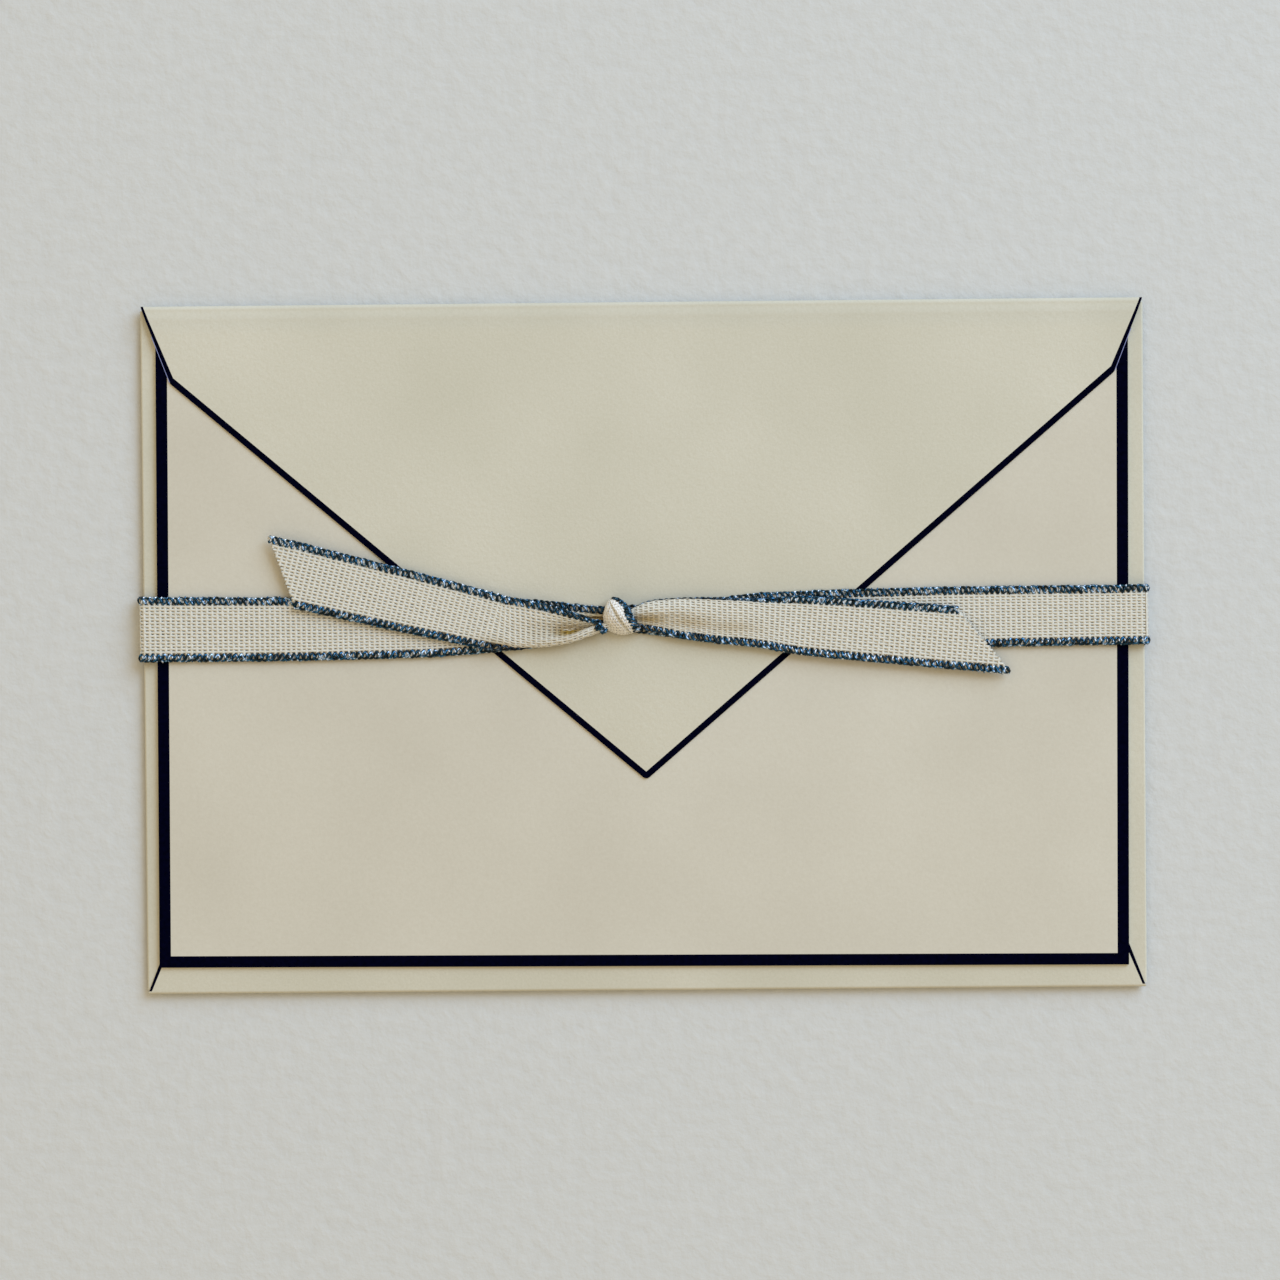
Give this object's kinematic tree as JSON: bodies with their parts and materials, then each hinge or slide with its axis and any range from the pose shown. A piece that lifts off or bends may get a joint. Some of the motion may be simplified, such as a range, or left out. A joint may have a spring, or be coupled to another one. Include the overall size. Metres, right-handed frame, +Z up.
{
  "type": "paper envelope with notecard and ribbon",
  "caption": "Pointed-flap paper envelope lying flap side up, a bordered notecard tucked under its flap, tied round with a narrow ribbon that ends in a knot and slanted tails.",
  "frame": {"origin": "on the resting plane, under the middle of the whole object's box", "axes": "+X along the envelope's width and the ribbon, +Y towards the top fold of the pointed flap, +Z up from the flap side"},
  "size_m": [0.1588, 0.1082, 0.0064],
  "materials": {
    "envelope_paper": "matt",
    "border_ink": "matt",
    "card_stock": "matt",
    "ribbon_weave": "matt",
    "metallic_thread": "glossy"
  },
  "bodies": {
    "root": {"envelope": "envelope_paper", "flap_borders": "border_ink", "note_card": "card_stock", "card_border": "border_ink", "ribbon_tape": "ribbon_weave", "ribbon_edging_upper": "metallic_thread", "ribbon_edging_lower": "metallic_thread"}
  },
  "joints": []
}
